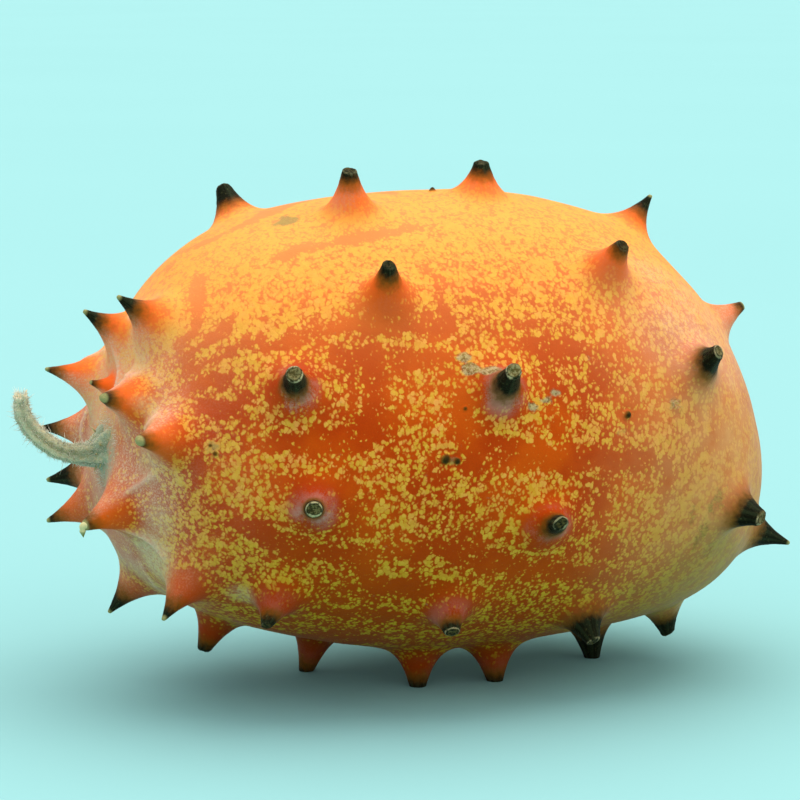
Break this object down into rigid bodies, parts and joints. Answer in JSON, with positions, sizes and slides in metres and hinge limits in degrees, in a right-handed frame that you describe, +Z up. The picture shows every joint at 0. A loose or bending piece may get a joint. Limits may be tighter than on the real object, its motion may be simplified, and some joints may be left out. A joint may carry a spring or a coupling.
{
  "type": "horned melon",
  "caption": "Ripe horned melon lying on its side: a blunt egg-shaped fruit with flared horns all over and a curled dry stub of stalk at one end.",
  "frame": {"origin": "middle of the object's footprint, on the surface that it lies on", "axes": "+Z up, +X along the fruit from the stem end to the blossom end, -Y towards the front"},
  "size_m": [0.1362, 0.0912, 0.0887],
  "materials": {
    "rind": "satin waxy rind, red-orange speckled with yellow, horn tips dark green",
    "stalk": "dry, ribbed, grey-green and hairy"
  },
  "bodies": {
    "root": {"fruit": "rind", "stalk": "stalk"}
  },
  "joints": []
}
